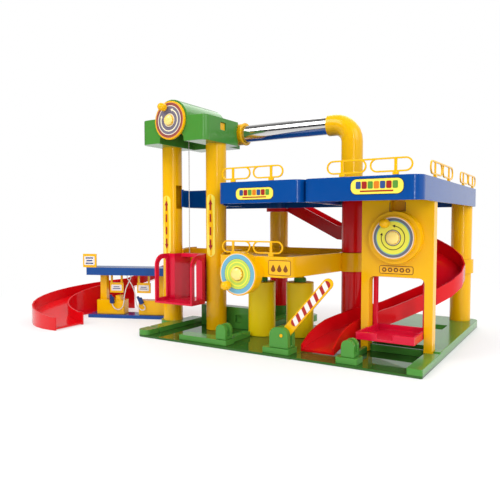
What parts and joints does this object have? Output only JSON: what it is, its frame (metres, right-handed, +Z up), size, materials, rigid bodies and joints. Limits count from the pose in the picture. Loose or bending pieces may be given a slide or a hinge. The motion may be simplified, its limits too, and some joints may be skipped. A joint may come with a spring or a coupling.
{
  "type": "toy parking garage",
  "caption": "Toy garage on two storeys with a crank car lift, a service lift, a car wash, a barrier, a spiral ramp, an exit ramp and a filling station.",
  "frame": {"origin": "on the floor, under the middle of the garage's base", "axes": "+X to the right along the front, +Y to the back, +Z up"},
  "size_m": [0.931, 0.5289, 0.475],
  "materials": {
    "green_plastic": "glossy moulded green",
    "yellow_plastic": "glossy moulded yellow",
    "roller_plastic": "satin greenish yellow",
    "red_plastic": "glossy moulded red",
    "cage_plastic": "glossy crimson",
    "blue_plastic": "glossy moulded blue",
    "chrome_tube": "mirror chrome film on a tube",
    "white_cord": "soft white cord",
    "drive_rubber": "dull black rubber"
  },
  "bodies": {
    "garage": {"base_left": "green_plastic", "base_right": "green_plastic", "rear_foot": "green_plastic", "left_rest": "green_plastic", "right_rest": "green_plastic", "barrier_post": "green_plastic", "lift_head": "green_plastic", "barrier_pin": "yellow_plastic", "lift_column_left": "yellow_plastic", "lift_column_right": "yellow_plastic", "rear_column_upper": "yellow_plastic", "corner_column_lower": "yellow_plastic", "corner_column_upper": "yellow_plastic", "deck_mid": "yellow_plastic", "front_left_railing": "yellow_plastic", "front_right_railing": "yellow_plastic", "mid_railing": "yellow_plastic", "side_front_railing": "yellow_plastic", "side_rear_railing": "yellow_plastic", "service_tower": "yellow_plastic", "tube_collar": "yellow_plastic", "elbow_pipe": "yellow_plastic", "station_sign": "yellow_plastic", "pump_left": "yellow_plastic", "pump_right": "yellow_plastic", "pump_sign_left": "yellow_plastic", "pump_sign_right": "yellow_plastic", "mid_column_lower": "red_plastic", "mid_column_upper": "red_plastic", "rear_column_lower": "red_plastic", "ramp_lower": "red_plastic", "ramp_turn": "red_plastic", "ramp_upper": "red_plastic", "exit_ramp": "red_plastic", "exit_ramp_curve": "red_plastic", "deck_top_left": "blue_plastic", "deck_top_right": "blue_plastic", "station_base": "blue_plastic", "station_roof": "blue_plastic", "nozzle_left": "blue_plastic", "nozzle_right": "blue_plastic", "chrome_tube": "chrome_tube", "lift_cord": "white_cord", "hose_left": "white_cord", "hose_right": "white_cord"},
    "lift_cage": {"lift_cage": "cage_plastic"},
    "winch": {"winch_drum": "yellow_plastic", "lift_dial": "yellow_plastic", "lift_knob": "yellow_plastic"},
    "service_platform": {"service_platform": "cage_plastic"},
    "service_crank": {"service_dial": "yellow_plastic", "service_knob": "yellow_plastic", "service_pinion": "yellow_plastic"},
    "wash_crank": {"wash_dial": "yellow_plastic", "wash_knob": "yellow_plastic", "wash_shaft": "drive_rubber"},
    "wash_idler": {"wash_idler": "drive_rubber"},
    "wash_roller_front": {"wash_roller_front": "roller_plastic"},
    "wash_roller_back": {"wash_roller_back": "roller_plastic"},
    "barrier": {"barrier_arm": "yellow_plastic"}
  },
  "joints": [
    {"name": "lift_travel", "type": "slide", "parent": "garage", "child": "lift_cage", "axis": [0, 0, 1], "range_m": [-0.045, 0.205], "deforming": ["lift_cord"]},
    {"name": "winch_turn", "type": "hinge", "parent": "garage", "child": "winch", "pos_m": [-0.236, -0.107, 0.433], "axis": [0, 1, 0], "range_deg": [-211, 956]},
    {"name": "platform_travel", "type": "slide", "parent": "garage", "child": "service_platform", "axis": [0, 0, 1], "range_m": [-0.019, 0.032]},
    {"name": "service_turn", "type": "hinge", "parent": "garage", "child": "service_crank", "pos_m": [0.21, -0.129, 0.203], "axis": [0, 1, 0], "range_deg": [-130, 80]},
    {"name": "wash_turn", "type": "hinge", "parent": "garage", "child": "wash_crank", "pos_m": [-0.031, -0.224, 0.139], "axis": [0, 1, 0], "continuous": true},
    {"name": "idler_turn", "type": "hinge", "parent": "garage", "child": "wash_idler", "pos_m": [-0.031, -0.088, 0.126], "axis": [0, 0, 1], "continuous": true},
    {"name": "roller_front_turn", "type": "hinge", "parent": "garage", "child": "wash_roller_front", "pos_m": [-0.068, -0.103, 0.06], "axis": [0, 0, 1], "continuous": true},
    {"name": "roller_back_turn", "type": "hinge", "parent": "garage", "child": "wash_roller_back", "pos_m": [0.002, -0.073, 0.06], "axis": [0, 0, 1], "continuous": true},
    {"name": "barrier_swing", "type": "hinge", "parent": "garage", "child": "barrier", "pos_m": [0.044, -0.214, 0.036], "axis": [0, 1, 0], "range_deg": [-26, 49]}
  ],
  "couplings": [
    {"joint": "winch_turn", "follows": "lift_travel", "rad_per_m": 81.301},
    {"joint": "service_turn", "follows": "platform_travel", "rad_per_m": -69.444},
    {"joint": "wash_turn", "follows": "roller_front_turn", "ratio": 1.2266},
    {"joint": "idler_turn", "follows": "roller_front_turn", "ratio": -0.9812},
    {"joint": "roller_back_turn", "follows": "roller_front_turn", "ratio": 1.2305}
  ]
}
